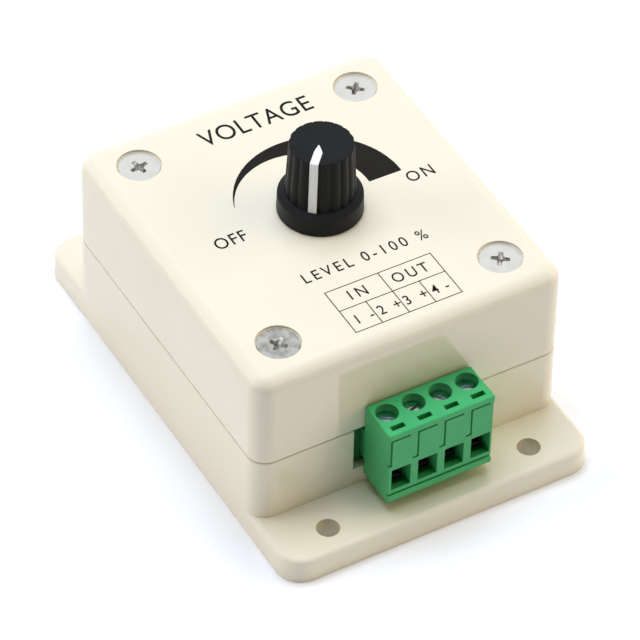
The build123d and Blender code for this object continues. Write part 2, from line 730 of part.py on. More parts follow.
# Plug: clamp block in front of the wall and a keyed nose inside the header
with BuildPart() as plug_housing:
    with BuildSketch(plug_face):
        with Locations((0, plug_bottom)):
            Rectangle(plug_width, plug_height, align=(Align.CENTER, Align.MIN))
    extrude(amount=-plug_depth)
    chamfer(plug_housing.edges(), plug_edge)
    with BuildSketch(nose_end):
        with Locations((0, pin_z)):
            Rectangle(nose_width, nose_height)
        with Locations((0, pin_z + nose_height / 2)):
            with GridLocations(pole_pitch, 0, pole_count, 1):
                Rectangle(key_width, 2 * key_height)
    extrude(amount=-nose_length - plug_edge)
    with BuildSketch(nose_end):
        with Locations((0, pin_z)):
            with GridLocations(pole_pitch, 0, pole_count, 1):
                Rectangle(socket_outer + 2 * socket_clearance, socket_outer + 2 * socket_clearance)
    extrude(amount=-nose_length, mode=Mode.SUBTRACT)
    with BuildSketch(Plane((terminal_x, clamp_y, plug_top))):
        with GridLocations(pole_pitch, 0, pole_count, 1):
            Circle(clamp_hole_diameter / 2)
    extrude(amount=clamp_head_bottom - plug_top, mode=Mode.SUBTRACT)
    with BuildSketch(Plane((terminal_x, clamp_y, plug_top))):
        with GridLocations(pole_pitch, 0, pole_count, 1):
            Circle(clamp_screw_diameter / 2 + clamp_running_fit)
    extrude(amount=shelf_bottom - plug_top, mode=Mode.SUBTRACT)
    with BuildSketch(Plane((terminal_x, chamber_front, chamber_floor))):
        with GridLocations(pole_pitch, 0, pole_count, 1):
            Rectangle(chamber_width, chamber_length, align=(Align.CENTER, Align.MIN))
    extrude(amount=shelf_bottom - chamber_floor, mode=Mode.SUBTRACT)
    with BuildSketch(Plane((terminal_x, plug_back, contact_z), x_dir=(1, 0, 0), z_dir=(0, -1, 0))):
        with GridLocations(pole_pitch, 0, pole_count, 1):
            Rectangle(contact_width + 2 * socket_clearance, contact_thickness + 2 * socket_clearance)
    extrude(amount=clamp_axis_depth, mode=Mode.SUBTRACT)
    with BuildSketch(plug_face):
        with Locations((0, entry_z)):
            with GridLocations(pole_pitch, 0, pole_count, 1):
                Rectangle(entry_width, entry_height)
    extrude(amount=-entry_depth, mode=Mode.SUBTRACT)
    with BuildSketch(plug_face):
        with BuildLine():
            Polyline(
                (plug_width / 2, plug_top - side_recess_from_edge),
                (plug_width / 2 - side_recess_depth, plug_top - side_recess_from_edge - side_recess_ramp),
                (plug_width / 2 - side_recess_depth, plug_bottom + side_recess_from_edge + side_recess_ramp),
                (plug_width / 2, plug_bottom + side_recess_from_edge),
                close=True,
            )
        make_face()
    extrude(amount=-plug_depth, mode=Mode.SUBTRACT)
    with BuildSketch(Plane((terminal_x, plug_front + probe_slot_from_front, plug_top))):
        with GridLocations(pole_pitch, 0, pole_count, 1):
            Rectangle(probe_slot_length, probe_slot_width)
    extrude(amount=-probe_slot_depth, mode=Mode.SUBTRACT)
    with BuildSketch(plug_face):
        for pole in pole_offsets:
            panel_left = pole - entry_width / 2 - groove_width
            panel_top = plug_top - panel_groove_below_top
            panel_foot = entry_z + entry_height / 2 + panel_groove_above_entry
            with Locations((panel_left, panel_top)):
                Rectangle(panel_groove_length, groove_width, align=(Align.MIN, Align.MAX))
            with Locations((panel_left, panel_foot)):
                Rectangle(groove_width, panel_top - panel_foot, align=(Align.MIN, Align.MIN))
            with Locations((panel_left + groove_width, panel_foot)):
                Rectangle(panel_step_length, groove_width, align=(Align.MAX, Align.MIN))
        with Locations((0, plug_bottom + base_groove_above_bottom)):
            Rectangle(plug_width, base_groove_width)
    extrude(amount=-groove_depth, mode=Mode.SUBTRACT)
plug_housing.part.label = "plug_housing"
export_step(plug_housing.part, "parts/plug_housing.step")

# Contact bars through the clamp cages, each ending in a box socket over a header pin
with BuildPart() as plug_contacts:
    with BuildSketch(nose_end.offset(-socket_clearance)):
        with Locations((0, pin_z)):
            with GridLocations(pole_pitch, 0, pole_count, 1):
                Rectangle(socket_outer, socket_outer)
                Rectangle(socket_inner, socket_inner, mode=Mode.SUBTRACT)
    extrude(amount=-socket_length)
    with BuildSketch(Plane((terminal_x, contact_start, contact_z), x_dir=(1, 0, 0), z_dir=(0, -1, 0))):
        with GridLocations(pole_pitch, 0, pole_count, 1):
            Rectangle(contact_width, contact_thickness)
    extrude(amount=contact_length)
plug_contacts.part.label = "plug_contacts"
export_step(plug_contacts.part, "parts/plug_contacts.step")

# Slotted clamp screws, captive on the plug's shelf, and the cages they lift
for number, pole in enumerate(pole_offsets, start=1):
    with BuildPart(Plane((terminal_x + pole, clamp_y, clamp_head_bottom))) as clamp_screw:
        Cylinder(
            clamp_head_diameter / 2,
            clamp_head_height,
            align=(Align.CENTER, Align.CENTER, Align.MIN),
        )
        Cylinder(
            clamp_screw_diameter / 2,
            clamp_screw_reach,
            align=(Align.CENTER, Align.CENTER, Align.MAX),
        )
        with Locations((0, 0, clamp_head_height)):
            Box(
                clamp_head_diameter,
                clamp_slot_width,
                clamp_slot_depth,
                align=(Align.CENTER, Align.CENTER, Align.MAX),
                mode=Mode.SUBTRACT,
            )
    clamp_screw.part.label = f"clamp_screw_{number}"
    export_step(clamp_screw.part, f"parts/clamp_screw_{number}.step")
    with BuildPart(Plane((terminal_x + pole, cage_front, cage_bottom))) as clamp_cage:
        Box(
            cage_width,
            cage_depth,
            cage_height,
            align=(Align.CENTER, Align.MIN, Align.MIN),
        )
        with Locations((0, 0, cage_floor)):
            Box(
                cage_width - 2 * cage_side,
                cage_depth,
                cage_window_height,
                align=(Align.CENTER, Align.MIN, Align.MIN),
                mode=Mode.SUBTRACT,
            )
        with Locations((0, clamp_y - cage_front, cage_height)):
            Hole(clamp_screw_diameter / 2 + clamp_running_fit, depth=cage_top_wall)
    clamp_cage.part.label = f"clamp_cage_{number}"
    export_step(clamp_cage.part, f"parts/clamp_cage_{number}.step")

# Switching transistor standing on three legs
with BuildPart() as power_transistor:
    with BuildSketch(Plane((transistor_x, transistor_y, board_bottom))):
        with GridLocations(transistor_leg_pitch, 0, transistor_leg_count, 1):
            Rectangle(transistor_leg_width, transistor_leg_width / 2)
    extrude(amount=board_thickness + transistor_leg_height)
    with BuildSketch(Plane((transistor_x, transistor_y, board_top + transistor_leg_height))):
        Rectangle(transistor_width, transistor_thickness)
    extrude(amount=transistor_body_height)
    with BuildSketch(Plane((transistor_x, transistor_y, board_top + transistor_leg_height))):
        with Locations((0, transistor_thickness / 2)):
            Rectangle(transistor_width, transistor_tab_thickness, align=(Align.CENTER, Align.MAX))
    extrude(amount=transistor_tab_height)
    hole_height = board_top + transistor_leg_height + (transistor_body_height + transistor_tab_height) / 2
    with BuildSketch(Plane((transistor_x, transistor_y, hole_height), z_dir=(0, 1, 0))):
        Circle(transistor_hole_diameter / 2)
    extrude(amount=transistor_thickness, mode=Mode.SUBTRACT)
power_transistor.part.label = "power_transistor"
export_step(power_transistor.part, "parts/power_transistor.step")

# Electrolytic capacitor with the rolled groove above its seal
with BuildPart() as smoothing_capacitor:
    with BuildSketch(Plane((capacitor_x, capacitor_y, board_top))):
        Circle(capacitor_radius)
    extrude(amount=capacitor_height)
    fillet(smoothing_capacitor.faces().sort_by(Axis.Z)[-1].edges(), capacitor_groove_radius)
    with BuildSketch(Plane((capacitor_x, capacitor_y, 0), z_dir=(0, -1, 0))):
        with Locations((capacitor_radius + capacitor_groove_radius / 2, board_top + capacitor_groove_height)):
            Circle(capacitor_groove_radius)
    revolve(axis=Axis((capacitor_x, capacitor_y, 0), (0, 0, 1)), mode=Mode.SUBTRACT)
smoothing_capacitor.part.label = "smoothing_capacitor"
export_step(smoothing_capacitor.part, "parts/smoothing_capacitor.step")

# Timing chip on two rows of legs
with BuildPart(Plane((control_x, chip_y, board_top))) as control_chip:
    with Locations((0, 0, chip_standoff)):
        Box(chip_length, chip_width, chip_height, align=(Align.CENTER, Align.CENTER, Align.MIN))
    with GridLocations(chip_leg_pitch, chip_row_width, chip_leg_count, 2):
        Box(
            chip_leg_width,
            chip_leg_thickness,
            chip_standoff + chip_height / 2,
            align=(Align.CENTER, Align.CENTER, Align.MIN),
        )
    with Locations((0, 0, chip_standoff + chip_height / 2)):
        with GridLocations(chip_leg_pitch, 0, chip_leg_count, 1):
            Box(
                chip_leg_width,
                chip_row_width + chip_leg_thickness,
                chip_leg_thickness,
                align=(Align.CENTER, Align.CENTER, Align.MAX),
            )
control_chip.part.label = "control_chip"
export_step(control_chip.part, "parts/control_chip.step")

# Flyback diode lying on the board, its leads bent down through it
with BuildPart() as power_diode:
    with BuildSketch(Plane((diode_x - diode_length / 2, diode_y, board_top + diode_radius), z_dir=(1, 0, 0))):
        Circle(diode_radius)
    extrude(amount=diode_length)
    with BuildLine() as diode_lead:
        FilletPolyline(
            (diode_x - diode_lead_span / 2, diode_y, board_bottom),
            (diode_x - diode_lead_span / 2, diode_y, board_top + diode_radius),
            (diode_x + diode_lead_span / 2, diode_y, board_top + diode_radius),
            (diode_x + diode_lead_span / 2, diode_y, board_bottom),
            radius=2 * diode_lead_radius,
        )
    with BuildSketch(Plane((diode_x - diode_lead_span / 2, diode_y, board_bottom))):
        Circle(diode_lead_radius)
    sweep(path=diode_lead.line)
power_diode.part.label = "power_diode"
export_step(power_diode.part, "parts/power_diode.step")

# Small resistors beside the terminal, their leads bent down through the board
with BuildPart() as resistors:
    for number in range(resistor_count):
        row_y = resistor_y + resistor_pitch * (number - (resistor_count - 1) / 2)
        lead_z = board_top + resistor_radius
        with BuildSketch(Plane((resistor_x - resistor_length / 2, row_y, lead_z), z_dir=(1, 0, 0))):
            Circle(resistor_radius)
        extrude(amount=resistor_length)
        with BuildLine() as resistor_lead:
            FilletPolyline(
                (resistor_x - resistor_lead_span / 2, row_y, board_bottom),
                (resistor_x - resistor_lead_span / 2, row_y, lead_z),
                (resistor_x + resistor_lead_span / 2, row_y, lead_z),
                (resistor_x + resistor_lead_span / 2, row_y, board_bottom),
                radius=2 * resistor_lead_radius,
            )
        with BuildSketch(Plane((resistor_x - resistor_lead_span / 2, row_y, board_bottom))):
            Circle(resistor_lead_radius)
        sweep(path=resistor_lead.line)
resistors.part.label = "resistors"
export_step(resistors.part, "parts/resistors.step")
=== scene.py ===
import json
import math

import bmesh
import bpy
from mathutils import Matrix, Vector


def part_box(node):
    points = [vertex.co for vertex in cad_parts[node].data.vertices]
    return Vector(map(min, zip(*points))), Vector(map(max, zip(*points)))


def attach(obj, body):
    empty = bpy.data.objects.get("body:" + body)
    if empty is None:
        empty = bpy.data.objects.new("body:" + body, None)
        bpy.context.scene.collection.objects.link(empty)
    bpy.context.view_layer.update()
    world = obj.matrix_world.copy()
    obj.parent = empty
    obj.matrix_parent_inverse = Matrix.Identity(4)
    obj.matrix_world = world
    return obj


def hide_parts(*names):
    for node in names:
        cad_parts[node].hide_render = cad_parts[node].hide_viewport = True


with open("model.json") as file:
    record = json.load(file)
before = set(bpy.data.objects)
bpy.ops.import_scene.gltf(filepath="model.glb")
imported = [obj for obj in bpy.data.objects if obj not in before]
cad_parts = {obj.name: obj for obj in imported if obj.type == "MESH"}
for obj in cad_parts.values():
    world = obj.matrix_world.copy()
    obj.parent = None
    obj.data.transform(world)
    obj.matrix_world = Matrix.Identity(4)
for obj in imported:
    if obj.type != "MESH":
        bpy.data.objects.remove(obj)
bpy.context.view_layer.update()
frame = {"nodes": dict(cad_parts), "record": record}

MM = 0.001
COVER_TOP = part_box("cover")[1][2]
# Numbers of the terminal's poles
POLES = range(1, 5)


# Materials: each one varies in colour, roughness and height over the surface, in object coordinates

BEVEL_SAMPLES = 6
# The range of a noise that the colours and the roughness are spread over
NOISE_LOW, NOISE_HIGH = 0.3, 0.7
BLOTCH_LOW, BLOTCH_HIGH = 0.32, 0.6
# How many octaves each noise has
CLOUD_DETAIL, GLOSS_DETAIL, BLOTCH_DETAIL = 4.0, 6.0, 8.0
MOULD_DETAIL, METAL_DETAIL = 6.0, 3.0
# How many times finer the patches of gloss are than the clouds or the blotches
GLOSS_PER_CLOUD, GLOSS_PER_BLOTCH = 4, 3
# Bump of plastic and metal
MOULD_STRENGTH, METAL_STRENGTH = 0.25, 0.3
METAL_GRAIN_MM, METAL_DEPTH_MM, METAL_EDGE_MM = 0.15, 0.004, 0.06


def noise(tree, size_mm, detail):
    """Noise with features of about size_mm."""
    place = tree.nodes.new("ShaderNodeTexCoord")
    texture = tree.nodes.new("ShaderNodeTexNoise")
    texture.inputs["Scale"].default_value = 1 / (size_mm * MM)
    texture.inputs["Detail"].default_value = detail
    tree.links.new(place.outputs["Object"], texture.inputs["Vector"])
    return texture.outputs["Fac"]


def colours(tree, factor, low, high, dark, light):
    """Linear colours that go from dark to light as a factor goes from low to high."""
    node = tree.nodes.new("ShaderNodeValToRGB")
    for element, position, colour in zip(node.color_ramp.elements, (low, high), (dark, light)):
        element.position = position
        element.color = (*colour, 1)
    tree.links.new(factor, node.inputs["Fac"])
    return node.outputs["Color"]


def spread(tree, factor, low, high):
    """Maps the middle of a noise onto the range from low to high."""
    node = tree.nodes.new("ShaderNodeMapRange")
    node.inputs["From Min"].default_value = NOISE_LOW
    node.inputs["From Max"].default_value = NOISE_HIGH
    node.inputs["To Min"].default_value = low
    node.inputs["To Max"].default_value = high
    tree.links.new(factor, node.inputs["Value"])
    return node.outputs["Result"]


def relief(tree, shader, factor, depth_mm, strength, edge_mm):
    """Bump over edges that are rounded in shading by edge_mm."""
    edge = tree.nodes.new("ShaderNodeBevel")
    edge.samples = BEVEL_SAMPLES
    edge.inputs["Radius"].default_value = edge_mm * MM
    bump = tree.nodes.new("ShaderNodeBump")
    bump.inputs["Strength"].default_value = strength
    bump.inputs["Distance"].default_value = depth_mm * MM
    tree.links.new(factor, bump.inputs["Height"])
    tree.links.new(edge.outputs["Normal"], bump.inputs["Normal"])
    tree.links.new(bump.outputs["Normal"], shader.inputs["Normal"])


def material(name):
    """New material, with its node tree and its shader."""
    made = bpy.data.materials.new(name)
    made.use_nodes = True
    return made, made.node_tree, made.node_tree.nodes["Principled BSDF"]


def moulded(name, dark, light, rough, cloud_mm, grain_mm, ior=1.5, depth_mm=0.004, edge_mm=0.1):
    """Moulded plastic: faint clouding, uneven gloss and a fine tool texture."""
    made, tree, shader = material(name)
    shader.inputs["IOR"].default_value = ior
    cloud = noise(tree, cloud_mm, CLOUD_DETAIL)
    gloss = noise(tree, cloud_mm / GLOSS_PER_CLOUD, GLOSS_DETAIL)
    grain = noise(tree, grain_mm, MOULD_DETAIL)
    tree.links.new(colours(tree, cloud, NOISE_LOW, NOISE_HIGH, dark, light), shader.inputs["Base Color"])
    tree.links.new(spread(tree, gloss, *rough), shader.inputs["Roughness"])
    relief(tree, shader, grain, depth_mm, MOULD_STRENGTH, edge_mm)
    return made


def plated(name, dark, light, rough, blotch_mm=1.2):
    """Plated metal: blotches in the plating, uneven gloss and a fine grain; in the recess and the near left
    screw the colours and blotches are painted shade, glints and a darker reflection.
    """
    made, tree, shader = material(name)
    shader.inputs["Metallic"].default_value = 1.0
    blotch = noise(tree, blotch_mm, BLOTCH_DETAIL)
    gloss = noise(tree, blotch_mm / GLOSS_PER_BLOTCH, GLOSS_DETAIL)
    grain = noise(tree, METAL_GRAIN_MM, METAL_DETAIL)
    tree.links.new(colours(tree, blotch, BLOTCH_LOW, BLOTCH_HIGH, dark, light), shader.inputs["Base Color"])
    tree.links.new(spread(tree, gloss, *rough), shader.inputs["Roughness"])
    relief(tree, shader, grain, METAL_DEPTH_MM, METAL_STRENGTH, METAL_EDGE_MM)
    return made


def satin_top(made, start_mm, full_mm, rough):
    """Adds roughness from start_mm to full_mm below the cover's top, which is less glossy."""
    tree = made.node_tree
    shader = tree.nodes["Principled BSDF"]
    place = tree.nodes.new("ShaderNodeTexCoord")
    split = tree.nodes.new("ShaderNodeSeparateXYZ")
    rise = tree.nodes.new("ShaderNodeMapRange")
    rise.inputs["From Min"].default_value = COVER_TOP - start_mm * MM
    rise.inputs["From Max"].default_value = COVER_TOP - full_mm * MM
    rise.inputs["To Max"].default_value = rough
    total = tree.nodes.new("ShaderNodeMath")
    tree.links.new(place.outputs["Object"], split.inputs["Vector"])
    tree.links.new(split.outputs["Z"], rise.inputs["Value"])
    tree.links.new(shader.inputs["Roughness"].links[0].from_socket, total.inputs[0])
    tree.links.new(rise.outputs["Result"], total.inputs[1])
    tree.links.new(total.outputs["Value"], shader.inputs["Roughness"])


# Case, knob, terminal and print

case_plastic = moulded(
    "case_plastic", (0.850, 0.780, 0.610), (0.870, 0.802, 0.633),
    rough=(0.04, 0.08), cloud_mm=14.0, grain_mm=0.9, ior=1.7, depth_mm=0.0015)
satin_top(case_plastic, start_mm=2.9, full_mm=0.2, rough=0.35)
knob_plastic = moulded(
    "knob_plastic", (0.0085, 0.0090, 0.0098), (0.0110, 0.0116, 0.0128),
    rough=(0.40, 0.50), cloud_mm=3.0, grain_mm=0.12, ior=1.22)
pointer_paint = moulded(
    "pointer_paint", (0.86, 0.87, 0.88), (0.91, 0.92, 0.93),
    rough=(0.35, 0.5), cloud_mm=1.0, grain_mm=0.2, ior=1.45)
terminal_plastic = moulded(
    "terminal_plastic", (0.050, 0.400, 0.138), (0.060, 0.430, 0.153),
    rough=(0.38, 0.48), cloud_mm=4.0, grain_mm=0.25, ior=1.36)
# The header's darker green is painted shade: it stands for the shade in the notch of the case, where the
# header sits.
header_painted_shade = moulded(
    "header_painted_shade", (0.016, 0.160, 0.045), (0.020, 0.180, 0.052),
    rough=(0.40, 0.50), cloud_mm=4.0, grain_mm=0.25, ior=1.4)
print_ink = moulded(
    "print_ink", (0.0074, 0.0064, 0.0054), (0.0104, 0.0094, 0.0080),
    rough=(0.3, 0.45), cloud_mm=1.5, grain_mm=0.15, ior=1.22, depth_mm=0.002, edge_mm=0.02)

# Screws and metal parts

zinc_steel = plated(
    "zinc_steel", (0.73, 0.735, 0.715), (0.79, 0.795, 0.775), rough=(0.34, 0.44), blotch_mm=2.5)
# A darker zinc, with a wider spread of blotches, paints the darker reflection that the near left cover
# screw shows.
zinc_painted_dark_reflection = plated(
    "zinc_painted_dark_reflection", (0.30, 0.31, 0.30), (0.58, 0.59, 0.57), rough=(0.20, 0.40), blotch_mm=1.6)
# The recesses' colours are painted shade and painted glints: dark and bright blotches stand for the shadows
# and highlights in the cross recesses.
recess_painted_shade_glints = plated(
    "recess_painted_shade_glints", (0.12, 0.11, 0.10), (0.95, 0.94, 0.92), rough=(0.20, 0.40), blotch_mm=0.7)
clamp_steel = plated("clamp_steel", (0.50, 0.58, 0.65), (0.74, 0.83, 0.90), rough=(0.12, 0.25))
nickel_brass = plated("nickel_brass", (0.62, 0.58, 0.48), (0.74, 0.70, 0.60), rough=(0.25, 0.40))
# The near-black cages are painted shade: they stand for the dark inside the terminal's wire entries.
cage_painted_shade = plated("cage_painted_shade", (0.05, 0.05, 0.05), (0.09, 0.09, 0.088), rough=(0.35, 0.50))

# Parts inside the case

pot_resin = moulded(
    "pot_resin", (0.075, 0.046, 0.026), (0.100, 0.062, 0.036),
    rough=(0.45, 0.6), cloud_mm=2.0, grain_mm=0.3)
board_laminate = moulded(
    "board_laminate", (0.010, 0.075, 0.030), (0.018, 0.110, 0.045),
    rough=(0.3, 0.4), cloud_mm=2.5, grain_mm=0.6)
chip_plastic = moulded(
    "chip_plastic", (0.012, 0.012, 0.013), (0.020, 0.020, 0.021),
    rough=(0.5, 0.65), cloud_mm=1.0, grain_mm=0.08)
capacitor_sleeve = moulded(
    "capacitor_sleeve", (0.010, 0.012, 0.030), (0.014, 0.017, 0.042),
    rough=(0.25, 0.35), cloud_mm=4.0, grain_mm=0.5)
resistor_coat = moulded(
    "resistor_coat", (0.45, 0.31, 0.16), (0.53, 0.38, 0.21),
    rough=(0.35, 0.5), cloud_mm=1.5, grain_mm=0.2)
lead_insulation = moulded(
    "lead_insulation", (0.32, 0.010, 0.010), (0.40, 0.016, 0.014),
    rough=(0.4, 0.5), cloud_mm=2.0, grain_mm=0.4)

BY_SLOT = {
    "case_plastic": case_plastic,
    "knob_plastic": knob_plastic,
    "pointer_plastic": pointer_paint,
    "terminal_plastic": terminal_plastic,
    "zinc_steel": zinc_steel,
    "nickel_brass": nickel_brass,
    "pot_resin": pot_resin,
    "board_laminate": board_laminate,
    "chip_plastic": chip_plastic,
    "capacitor_sleeve": capacitor_sleeve,
    "resistor_coat": resistor_coat,
    "lead_insulation": lead_insulation,
}


def dress(obj, surface):
    """Gives an object one material in place of its own."""
    obj.data.materials.clear()
    obj.data.materials.append(surface)


for subpart in frame["record"]["subparts"]:
    dress(frame["nodes"][subpart["node"]], BY_SLOT[subpart["material_slot"]])
dress(frame["nodes"]["header_housing"], header_painted_shade)
for pole in POLES:
    dress(frame["nodes"][f"clamp_screw_{pole}"], clamp_steel)
    dress(frame["nodes"][f"clamp_cage_{pole}"], cage_painted_shade)


# Pieces made here: meshes in metres, in the frame of the CAD

def piece(name, mesh, surfaces, body):
    """Adds a mesh to the scene as a piece that rides on a body."""
    obj = bpy.data.objects.new(name, mesh)
    bpy.context.scene.collection.objects.link(obj)
    for surface in surfaces:
        mesh.materials.append(surface)
    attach(obj, body)
    return obj


def new_mesh(name, bm):
    """Mesh from a finished bmesh, with its faces turned outwards."""
    bmesh.ops.recalc_face_normals(bm, faces=bm.faces)
    mesh = bpy.data.meshes.new(name)
    bm.to_mesh(mesh)
    bm.free()
    return mesh


def around(loop):
    """Each corner of a closed loop, with the one that follows it."""
    return list(zip(loop, loop[1:] + loop[:1]))


def skin(bm, first, second):
    """Faces between two loops with as many corners each."""
    for (a, b), (c, d) in zip(around(first), around(second)):
        bm.faces.new((a, b, d, c))


# Print on the cover: thin raised ink, laid out in millimetres from the middle of the part

INK_MM = 0.02
INK_TOP = COVER_TOP + INK_MM * MM
WEDGE_STEPS = 96
TABLE_LINE = 0.16
# Letters: width as a share of the font's own, steps along a curve and how far the strokes are swollen
LETTER_WIDTH = 0.86
LETTER_STEPS = 6
LETTER_SWELL = 0.015
# The two settings that the spacing of a word is worked out from
NORMAL_SPACING, WIDE_SPACING = 1.0, 1.5


def ink_outline(bm, points):
    """Adds a flat ink shape with the given outline, raised a little over the cover."""
    low, high = ([bm.verts.new((x * MM, y * MM, z)) for x, y in points] for z in (COVER_TOP, INK_TOP))
    bm.faces.new(high)
    skin(bm, low, high)


def arc(centre, radius, start, end, steps):
    """Points along an arc from one angle in degrees to another."""
    turn = [math.radians(start + (end - start) * n / steps) for n in range(steps + 1)]
    return [(centre[0] + radius * math.cos(a), centre[1] + radius * math.sin(a)) for a in turn]


def wedge_mesh():
    """Crescent round the knob that grows from off to on, in strips so that each face is convex."""
    outer = arc(centre=(2.28, 2.55), radius=14.78, start=162.2, end=-2.3, steps=WEDGE_STEPS)
    inner = arc(centre=(-0.77, 2.81), radius=11.72, start=158.6, end=-3.7, steps=WEDGE_STEPS)
    bm = bmesh.new()
    rows = []
    for side in (outer, inner):
        rows.append([bm.verts.new((x * MM, y * MM, z)) for x, y in side for z in (COVER_TOP, INK_TOP)])
    for a in range(0, 2 * WEDGE_STEPS, 2):
        b = a + 2
        bm.faces.new((rows[0][a + 1], rows[0][b + 1], rows[1][b + 1], rows[1][a + 1]))
        for row in rows:
            bm.faces.new((row[a], row[b], row[b + 1], row[a + 1]))
    for a in (0, 2 * WEDGE_STEPS):
        bm.faces.new((rows[0][a], rows[1][a], rows[1][a + 1], rows[0][a + 1]))
    return new_mesh("print_wedge", bm)


def table_mesh():
    """Ruled table with one wide cell over each pair of terminals."""
    left, first, centre, second, right = -8.7, -3.8, 1.2, 6.15, 11.05
    bottom, middle, top = -27.75, -22.3, -17.5
    bars = [(left, y, right, y) for y in (top, middle, bottom)]
    bars += [(x, bottom, x, top) for x in (left, right, centre)]
    bars += [(x, bottom, x, middle) for x in (first, second)]
    half = TABLE_LINE / 2
    bm = bmesh.new()
    for x0, y0, x1, y1 in bars:
        ink_outline(bm, [
            (x0 - half, y0 - half), (x1 + half, y0 - half), (x1 + half, y1 + half), (x0 - half, y1 + half)])
    return new_mesh("print_table", bm)


def lettering(name, text, left, right, baseline, cap):
    """Narrow words set between two sides at a cap height."""
    curve = bpy.data.curves.new(name, "FONT")
    curve.extrude = INK_MM * MM / 2
    curve.offset = LETTER_SWELL * MM
    curve.resolution_u = LETTER_STEPS
    writer = bpy.data.objects.new(name, curve)
    bpy.context.scene.collection.objects.link(writer)

    def corners():
        bpy.context.view_layer.update()
        box = [Vector(c) for c in writer.bound_box]
        return min(c.x for c in box), max(c.x for c in box), max(c.y for c in box)

    curve.body = "H"
    curve.size = cap * MM / (corners()[2] / curve.size)
    curve.body = text
    widths = []
    for spacing in (NORMAL_SPACING, WIDE_SPACING):
        curve.space_character = spacing
        start, end, _ = corners()
        widths.append(end - start)
    if widths[1] > widths[0]:
        growth = ((right - left) * MM / LETTER_WIDTH - widths[0]) / (widths[1] - widths[0])
        curve.space_character = NORMAL_SPACING + (WIDE_SPACING - NORMAL_SPACING) * growth
    start, end, _ = corners()
    middle = (left + right) / 2 * MM - LETTER_WIDTH * (start + end) / 2
    mesh = bpy.data.meshes.new_from_object(writer.evaluated_get(bpy.context.evaluated_depsgraph_get()))
    mesh.transform(Matrix.Diagonal((LETTER_WIDTH, 1, 1, 1)))
    mesh.transform(Matrix.Translation((middle, baseline * MM, COVER_TOP + INK_MM * MM / 2)))
    bpy.data.objects.remove(writer)
    mesh.name = name
    return mesh


def print_piece(name, mesh):
    """Adds a printed shape to the cover."""
    piece(name, mesh, [print_ink], "enclosure")


# Name, text, left and right sides, baseline and cap height
WORDS = [
    ("print_title", "VOLTAGE", -8.9, 12.0, 22.3, 3.6),
    ("print_range", "LEVEL 0-100 %", -10.2, 12.9, -14.2, 2.2),
    ("print_off", "OFF", -18.9, -13.2, -0.6, 2.5),
    ("print_on", "ON", 16.9, 21.8, -1.35, 2.4),
    ("print_in", "IN", -5.5, -2.3, -20.95, 2.2),
    ("print_out", "OUT", 2.6, 9.2, -20.95, 2.15),
    ("print_pole_1", "1 -", -7.2, -4.1, -26.2, 2.05),
    ("print_pole_2", "2 +", -3.1, 1.0, -26.2, 2.05),
    ("print_pole_3", "3 +", 1.75, 5.9, -26.2, 2.05),
    ("print_pole_4", "4 -", 6.8, 9.9, -26.2, 2.05),
]
print_piece("print_wedge", wedge_mesh())
print_piece("print_table", table_mesh())
for name, *setting in WORDS:
    print_piece(name, lettering(name, *setting))


# Screws, made in millimetres along Z

# Edges that turn by more than this stay sharp in shading
SHARP_DEGREES = 25


def ring(bm, radius, height, sides):
    """Corners of a level circle about the axis."""
    turns = [2 * math.pi * n / sides for n in range(sides)]
    return [bm.verts.new((radius * math.cos(a), radius * math.sin(a), height)) for a in turns]


def set_screw(mesh, place, turn):
    """Shades a screw, turns it about its axis by degrees and sets its origin at a place in metres."""
    for face in mesh.polygons:
        face.use_smooth = True
    mesh.set_sharp_from_angle(angle=math.radians(SHARP_DEGREES))
    turned = Matrix.Rotation(math.radians(turn), 4, "Z") @ Matrix.Diagonal((MM, MM, MM, 1))
    mesh.transform(Matrix.Translation(place) @ turned)


# Cover screws: countersunk heads, cross recesses with sloping walls and helical threads

SCREW_SIDES = 64
# Radius and height, from the edge of the head's flat top down to the end
SCREW_OUTLINE = [
    (3.50, 0), (3.58, -0.07), (3.58, -0.20), (1.60, -2.20), (1.22, -2.80), (1.22, -25.0), (0.60, -26.0),
]
# Reach, half width and inner bevel of the recess's arms, and height, from its mouth to its foot
RECESS_OUTLINE = [(1.62, 0.46, 0.20, 0), (1.05, 0.36, 0.16, -0.90), (0.62, 0.22, 0.08, -1.60)]
RECESS_TIP = -1.85
# Width of an arm of the recess at its end, as a share of its width at its root
ARM_TAPER = 0.8
# Radius of the heads of the CAD screws, whose box gives the places
CAD_HEAD_MM = 3.65


def cross(bm, reach, half, corner, height):
    """Cross outline with bevelled inner corners."""
    end = ARM_TAPER * half
    quarter = [(reach, -end), (reach, end), (half + corner, half), (half, half + corner)]
    points = []
    for n in range(4):
        c, s = round(math.cos(n * math.pi / 2)), round(math.sin(n * math.pi / 2))
        points += [(c * x - s * y, s * x + c * y) for x, y in quarter]
    return [bm.verts.new((x, y, height)) for x, y in points]


def thread(bm, crest, root, pitch, top, turns, sides):
    """Helical ridge that runs out to its root at both ends."""
    steps = turns * sides
    lines = []
    for n in range(steps + 1):
        a = 2 * math.pi * n / sides
        ease = min(1, n / sides, (steps - n) / sides)
        height = top - pitch * n / sides
        radius = root + (crest - root) * ease
        lines.append([bm.verts.new((r * math.cos(a), r * math.sin(a), z))
                      for r, z in ((radius, height), (root, height - pitch / 2))])
    for n in range(steps):
        bm.faces.new((lines[n][0], lines[n + 1][0], lines[n + 1][1], lines[n][1]))
    for n in range(steps - sides):
        bm.faces.new((lines[n][1], lines[n + 1][1], lines[n + 1 + sides][0], lines[n + sides][0]))


